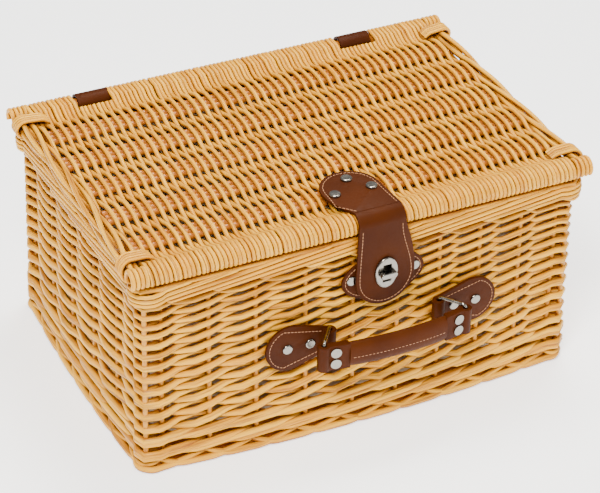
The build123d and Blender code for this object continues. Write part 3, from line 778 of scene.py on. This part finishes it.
# %% The corner bindings
def binding_paths(node, sx, sy):
    """Flat strands that go over the corner slantwise and down round its outside."""
    low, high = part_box(node)
    paths = []
    for k in range(4):
        y = (low.y + high.y) / 2 + (k - 1.5) * 3.1 * mm
        inner_x = low.x if sx > 0 else high.x
        outer_x = high.x if sx > 0 else low.x
        centre_x = outer_x - sx * 7.5 * mm
        loop = [(inner_x, rail_z + 4.5 * mm), (inner_x + sx * 5 * mm, rail_z + 7.6 * mm)]
        for angle in np.linspace(0.5 * pi, -0.55 * pi, 12):
            loop.append((centre_x + sx * 8.3 * mm * cos(angle), rail_z + 8.7 * mm * sin(angle)))
        loop = np.array(loop)
        slant = np.linspace(1, -1, len(loop)) * sy * 3.5 * mm
        paths.append(np.stack([loop[:, 0], y - slant, loop[:, 1]], axis=1))
    return paths


binding_rod = 1.75 * mm
for y_name, sy in (("front", -1), ("back", 1)):
    for x_name, sx in (("left", -1), ("right", 1)):
        node = f"corner_binding_{y_name}_{x_name}"
        strands = lay_rods(node + "_strands", binding_paths(node, sx, sy), binding_rod, 30)
        dress(strands, willow, "lid", node, slot="willow")

# %% [markdown]
# ## The lining
# A cloth bag lines the basket: it shows grey-brown through the gaps of the walls. It is one sheet with a
# floor and four sides, open at the top. A box without its top gives that shape; it is cut fine, its
# sides are pushed in and out a little where the stakes and the cloth's own slack hold it, and Solidify
# gives it the thickness of cloth.


# %% The lining bag
def cloth_material(name, colour, dark, threads):
    """A plain woven cloth: crossing threads as bump and a slight unevenness of colour."""
    material, tree, shader = new_material(name)
    place = object_place(tree)
    waves = []
    for direction in ("X", "Y", "Z"):
        wave = add_node(tree, "ShaderNodeTexWave", wave_type="BANDS", bands_direction=direction,
                        Scale=threads)
        tree.links.new(place, wave.inputs["Vector"])
        waves.append(wave.outputs["Fac"])
    weave = sums(tree, "ADD", sums(tree, "ADD", waves[0], waves[1]), waves[2])
    noise = noise_at(tree, place, 60.0, Detail=3.0)
    tree.links.new(mix_colours(tree, noise, dark, colour), shader.inputs["Base Color"])
    shader.inputs["Roughness"].default_value = 0.92
    bumpy(tree, shader, weave, 0.4, 0.0003)
    return material


lining_low, lining_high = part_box("body_lining")
lining_size = lining_high - lining_low
lining_slack = 1.3 * mm
bpy.ops.object.select_all(action="DESELECT")
bpy.ops.mesh.primitive_cube_add(size=1, location=(lining_low + lining_high) / 2)
lining = bpy.context.object
lining.name = "lining_bag"
lining.scale = lining_size - Vector((2 * lining_slack, 2 * lining_slack, 1.0 * mm))
bpy.ops.object.transform_apply(location=True, rotation=True, scale=True)
bpy.context.tool_settings.mesh_select_mode = (False, False, True)
bpy.ops.object.mode_set(mode="EDIT")
bpy.ops.mesh.select_all(action="DESELECT")
bpy.ops.object.mode_set(mode="OBJECT")
for face in lining.data.polygons:
    face.select = face.normal.z > 0.9
bpy.ops.object.mode_set(mode="EDIT")
bpy.ops.mesh.delete(type="FACE")
bpy.ops.mesh.select_all(action="SELECT")
bpy.ops.mesh.subdivide(number_cuts=40)
bpy.ops.object.mode_set(mode="OBJECT")
half_x, half_y = lining_size.x / 2 - lining_slack, lining_size.y / 2 - lining_slack
for vertex in lining.data.vertices:
    x, y, z = vertex.co.x, vertex.co.y - middle_y, vertex.co.z
    depth = 1 - z / lining_high.z
    in_y = (1.4 + 9.0 * (1 - depth) + 9.0 * depth * (x / half_x) ** 2) * mm * abs(y / half_y)
    in_x = (0.8 + 4.0 * (1 - depth) + 3.6 * depth * (y / half_y) ** 2) * mm * abs(x / half_x)
    ripple = 0.5 * mm * sin(x * 90) * sin(z * 70 + 1)
    vertex.co.y -= (in_y + ripple * abs(y / half_y) ** 9) * (1 if y > 0 else -1)
    vertex.co.x -= (in_x + 0.5 * mm * sin(y * 80) * abs(x / half_x) ** 9) * (1 if x > 0 else -1)
thickness = lining.modifiers.new("cloth", "SOLIDIFY")
thickness.thickness = 0.9 * mm
thickness.offset = -1
bpy.ops.object.modifier_apply(modifier="cloth")
smooth_all(lining, 40)
taupe, dark_taupe = (0.60, 0.48, 0.33, 1), (0.48, 0.39, 0.27, 1)
lining_cloth = cloth_material("lining_cloth", taupe, dark_taupe, 260)
dress(lining, lining_cloth, "body", "body_lining", slot="lining")

# %% [markdown]
# ## Leather
# The straps are thick red-brown leather with a polished face, darker burnished edges and a pale stitched
# line just inside the edge. The stitches are real thread: short rods laid one after another along a line.
# The leather's own grain is a fine cell pattern, and its colour clouds a little and darkens towards edges.


# %% The leather material
def leather_material(name, face, dark, gloss):
    """Polished leather."""
    material, tree, shader = new_material(name)
    place = object_place(tree)
    cells = add_node(tree, "ShaderNodeTexVoronoi", Scale=1400.0)
    tree.links.new(place, cells.inputs["Vector"])
    clouds = noise_at(tree, place, 25.0, Detail=3.0, Roughness=0.5)
    fine = noise_at(tree, place, 420.0, Detail=3.0)
    worn = spread(tree, tree.nodes.new("ShaderNodeNewGeometry").outputs["Pointiness"], 0.5, 0.56)
    colour = mix_colours(tree, spread(tree, clouds, 0.35, 0.7), face, dark)
    colour = mix_colours(tree, sums(tree, "MULTIPLY", worn, 0.5), colour, dark)
    tree.links.new(colour, shader.inputs["Base Color"])
    tree.links.new(spread(tree, fine, 0.3, 0.7, gloss - 0.06, gloss + 0.1), shader.inputs["Roughness"])
    height = sums(tree, "ADD", cells.outputs["Distance"], sums(tree, "MULTIPLY", fine, 0.6))
    bumpy(tree, shader, height, 0.22, 0.0003)
    shader.inputs["Specular IOR Level"].default_value = 0.08
    return material


red_brown, dark_brown, cream = (0.056, 0.0115, 0.0001, 1), (0.034, 0.0062, 0.0001, 1), (0.36, 0.17, 0.085, 1)
leather = leather_material("red_brown_leather", red_brown, dark_brown, 0.5)
thread_paint, thread_tree, thread_shader = new_material("cream_thread")
thread_shader.inputs["Base Color"].default_value = cream
thread_shader.inputs["Roughness"].default_value = 0.8
thread_noise = add_node(thread_tree, "ShaderNodeTexNoise", Scale=900.0)
bumpy(thread_tree, thread_shader, thread_noise.outputs[0], 0.5, 0.0002)


def rounded_copy(node, name, width):
    """A merged copy of a CAD node with its sharp edges rounded."""
    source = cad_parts[node]
    bpy.ops.object.select_all(action="DESELECT")
    piece = source.copy()
    piece.data = source.data.copy()
    piece.parent = None
    piece.hide_render = False
    piece.hide_viewport = False
    piece.name = name
    for key in list(piece.keys()):
        del piece[key]
    bpy.context.collection.objects.link(piece)
    piece.select_set(True)
    bpy.context.view_layer.objects.active = piece
    bpy.ops.object.mode_set(mode="EDIT")
    bpy.ops.mesh.select_all(action="SELECT")
    bpy.ops.mesh.remove_doubles(threshold=0.00002)
    bpy.ops.mesh.dissolve_limited(angle_limit=radians(1))
    bpy.ops.mesh.normals_make_consistent(inside=False)
    bpy.ops.object.mode_set(mode="OBJECT")
    bevel = piece.modifiers.new("round", "BEVEL")
    bevel.width = width
    bevel.segments = 3
    bevel.limit_method = "ANGLE"
    bevel.angle_limit = radians(40)
    bpy.ops.object.modifier_apply(modifier="round")
    smooth_all(piece, 40)
    return piece


leather_nodes = {
    "strap_head": "lid", "strap_tongue": "closure_flap", "lock_backing": "body", "handle_tab_left": "body",
    "handle_tab_right": "body", "hinge_strap_left": "body", "hinge_strap_right": "body",
    "grip_end_left": "grip", "grip_end_right": "grip",
}
edge_round = 0.45 * mm
for node, body in leather_nodes.items():
    piece = rounded_copy(node, node + "_leather", edge_round)
    dress(piece, leather, body, node, slot="leather")
print("leather pieces", len(leather_nodes))


# %% Stitches
stitch_gap, stitch_length, thread_radius = 3.3 * mm, 2.3 * mm, 0.30 * mm
seam_inset = 3.2 * mm
above_face = 0.05 * mm


def stitches(name, line, normal, body):
    """Short threads along a line on a surface."""
    line = np.asarray(line, float)
    total = np.linalg.norm(np.diff(line, axis=0), axis=1).sum()
    count = max(int(total / stitch_gap), 2)
    points, _ = resample(line, count * 6 + 1)
    t = np.linspace(-1, 1, 5)
    arch = 0.28 * mm * (1 - t**2) - 0.14 * mm
    paths = []
    for k in range(count):
        along = points[k * 6 + 5] - points[k * 6 + 1]
        along /= np.linalg.norm(along)
        across = (t * stitch_length / 2)[:, None]
        paths.append(points[k * 6 + 3] + along * across + np.asarray(normal, float) * arch[:, None])
    thread = lay_rods(name, paths, thread_radius, 5, sides=6, up=normal)
    dress(thread, thread_paint, body, slot="leather")


strap_x, strap_half = 9 * mm, 21.5 * mm
tongue_low_corner, tongue_high_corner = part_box("strap_tongue")
lock_low, lock_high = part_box("lock_plate")
lock_x = (lock_low.x + lock_high.x) / 2
head_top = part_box("strap_head")[1].z


def tongue_edge(side, inset):
    """The tongue's outline on one side, from its neck down to its tip."""
    half = (tongue_high_corner.x - tongue_low_corner.x) / 2 - inset
    low = tongue_low_corner.z + 27.2 * mm
    top = rail_z - 2 * mm
    side_line = []
    neck_x = strap_x + side * (strap_half - inset)
    for t in np.linspace(0, 1, 14):
        ease = t * t * (3 - 2 * t)
        side_line.append((neck_x + (lock_x + side * half - neck_x) * ease, top + (low - top) * t))
    for a in np.linspace(0, pi / 2, 12)[1:]:
        side_line.append((lock_x + side * half * cos(a), low - half * sin(a)))
    return side_line


seam_line = tongue_edge(-1, seam_inset) + tongue_edge(1, seam_inset)[::-1][1:]
seam = [(x, tongue_low_corner.y - above_face, z) for x, z in seam_line]
stitches("tongue_stitches", seam, outwards_front, "closure_flap")

head_x, head_y = 2 * mm, front_rail_y + 34.5 * mm
head_r = 26.5 * mm - seam_inset
head_seam = [(strap_x - strap_half + seam_inset, front_rail_y + 1.0 * mm)]
head_seam += [(head_x - 24 * mm, front_rail_y + 14 * mm), (head_x - 23.4 * mm, front_rail_y + 24 * mm)]
head_seam += [(head_x - head_r * cos(a), head_y + head_r * sin(a)) for a in np.linspace(0, pi, 26)]
head_seam += [(strap_x + strap_half - seam_inset, front_rail_y + 1.0 * mm)]
stitches("head_stitches", [(x, y, head_top + above_face) for x, y in head_seam], z_axis, "lid")

backing_low, backing_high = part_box("lock_backing")
backing_a = (backing_high.x - backing_low.x) / 2 - 3 * mm
backing_b = (backing_high.z - backing_low.z) / 2 - 3 * mm
backing_z = (backing_high.z + backing_low.z) / 2
ring = [(lock_x + backing_a * cos(a), backing_low.y - above_face, backing_z + backing_b * sin(a))
        for a in np.linspace(0, 2 * pi, 60)]
stitches("backing_stitches", ring, outwards_front, "body")

for name, side in (("left", -1), ("right", 1)):
    low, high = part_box("handle_tab_" + name)
    centre_z = (low.z + high.z) / 2
    r = (high.z - low.z) / 2
    cx = low.x + r if side < 0 else high.x - r
    near_x = high.x - 11.5 * mm if side < 0 else low.x + 11.5 * mm
    inset = 3 * mm
    arc = [(cx + side * (r - inset) * cos(a), centre_z + (r - inset) * sin(a))
           for a in np.linspace(1.25, -1.25, 36)]
    outline = [(near_x, centre_z + 9.6 * mm)] + arc + [(near_x, centre_z - 9.6 * mm)]
    tab_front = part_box("tab_rivets")[0].y + 1.6 * mm
    seam = [(x, tab_front - above_face, z) for x, z in outline]
    stitches("tab_stitches_" + name, seam, outwards_front, "body")

# %% [markdown]
# ## The grip
# The grip's middle is a padded roll: leather folded round a soft core and sewn along its front. It bows
# away from the wall. Each end is a flat tongue that goes round the ring's bar and back, held by two
# rivets. The cover is modelled here as one flattened tube along the bow.

# %% The grip's padded cover
cover_low, cover_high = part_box("grip_cover")
cover_x = (cover_low.x + cover_high.x) / 2
cover_half = (cover_high.x - cover_low.x) / 2
cover_z = (cover_low.z + cover_high.z) / 2
bow_radius = 319.375 * mm
cover_half_thickness = 5 * mm
cover_half_height, cover_flatness = 12.4 * mm, 0.40
bow_centre_y = cover_low.y + cover_half_thickness + bow_radius


def grip_y(x):
    """The Y of the middle of the grip at an X."""
    return bow_centre_y - sqrt(bow_radius**2 - (x - cover_x) ** 2)


cover_line = np.linspace(-1, 1, 60) * cover_half
cover_path = np.array([(cover_x + t, grip_y(cover_x + t), cover_z) for t in cover_line])
cover = lay_rods("grip_cover_leather", [cover_path], cover_half_height, 60, sides=36, up=y_axis,
                 flatness=cover_flatness, even=False,
                 girth=lambda p: 1 - 0.04 * (np.abs(p[:, 0] - cover_x) / cover_half) ** 8)
dress(cover, leather, "grip", "grip_cover", "grip_core", slot="leather")
seam = [(cover_x + t, grip_y(cover_x + t) - 4.75 * mm, cover_z - 1.5 * mm) for t in cover_line[1:-1]]
stitches("grip_stitches", seam, outwards_front, "grip")

# %% [markdown]
# ## Nickel
# The rivets, the rings and the lock are bright nickel plate over brass. Polished metal shows only what it
# reflects, so the material has a little roughness and faint dents to break up the light. These pieces
# keep the frame's shape.

# %% The nickel material and the metal pieces
nickel, nickel_tree, nickel_shader = new_material("nickel_plate")
nickel_shader.inputs["Metallic"].default_value = 1.0
nickel_shader.inputs["Base Color"].default_value = (0.24, 0.225, 0.20, 1)
nickel_noise = noise_at(nickel_tree, object_place(nickel_tree), 260.0, Detail=4.0)
nickel_gloss = spread(nickel_tree, nickel_noise, 0.3, 0.7, 0.12, 0.3)
nickel_tree.links.new(nickel_gloss, nickel_shader.inputs["Roughness"])
bumpy(nickel_tree, nickel_shader, nickel_noise, 0.1, 0.0003)

metal_nodes = ("strap_rivets", "lock_backing_rivets", "tab_rivets", "hinge_rivets", "grip_rivets",
               "lock_base", "lock_plate", "turn_head", "ring_left", "ring_right")
for node in metal_nodes:
    keep_node(node, nickel)
print("metal pieces", len(metal_nodes))

# %% [markdown]
# ## Floor, light and camera
# A pale floor that glows a little, three soft warm area lights and an even world keep the shadows light.
# The camera looks down at the hamper from its front left, with a long lens, as a catalogue does.

# %% The floor, the lights and the camera
bpy.ops.mesh.primitive_plane_add(size=40, location=(0, 0, 0))
floor = bpy.context.object
floor.name = "floor"
floor_paint, _, floor_shader = new_material("floor_paint")
floor_shader.inputs["Base Color"].default_value = (0.90, 0.93, 0.98, 1)
floor_shader.inputs["Roughness"].default_value = 0.9
floor_shader.inputs["Emission Color"].default_value = (1, 1, 1, 1)
floor_shader.inputs["Emission Strength"].default_value = 1.4
floor.data.materials.append(floor_paint)

world = bpy.data.worlds.new("studio")
bpy.context.scene.world = world
world.use_nodes = True
world.node_tree.nodes["Background"].inputs[0].default_value = (1, 1, 1, 1)
world.node_tree.nodes["Background"].inputs[1].default_value = 0.5


def area_light(name, place, size, power):
    """A square soft light aimed at the hamper's middle."""
    bpy.ops.object.light_add(type="AREA", location=place)
    lamp = bpy.context.object
    lamp.name = name
    lamp.data.size = size
    lamp.data.energy = power
    lamp.data.color = (1.0, 0.95, 0.84)
    lamp.rotation_euler = (Vector((0, 0, 0.1)) - Vector(place)).to_track_quat("-Z", "Y").to_euler()


area_light("key", (-0.8, -0.95, 1.8), 0.6, 74)
area_light("fill", (1.4, -1.3, 0.9), 1.0, 12)
area_light("top", (0.5, 0.5, 2.0), 0.8, 54)

view_turn, view_height, view_roll = radians(-26.57), radians(34.17), radians(1.43)
view_target = Vector((6.3 * mm, 15.2 * mm, 88.5 * mm))
view_distance = 2160 * mm
view_lens = 146.04
view_line = Vector((sin(view_turn) * cos(view_height), -cos(view_turn) * cos(view_height), sin(view_height)))
bpy.ops.object.camera_add(location=view_target + view_line * view_distance)
camera = bpy.context.object
camera.rotation_euler = (-view_line).to_track_quat("-Z", "Y").to_euler()
camera.rotation_euler.rotate_axis("Z", view_roll)
camera.data.sensor_width = 36
camera.data.lens = view_lens
camera.data.clip_end = 50
bpy.context.scene.camera = camera
print("camera", round(view_distance, 2), "m from", view_target[:])
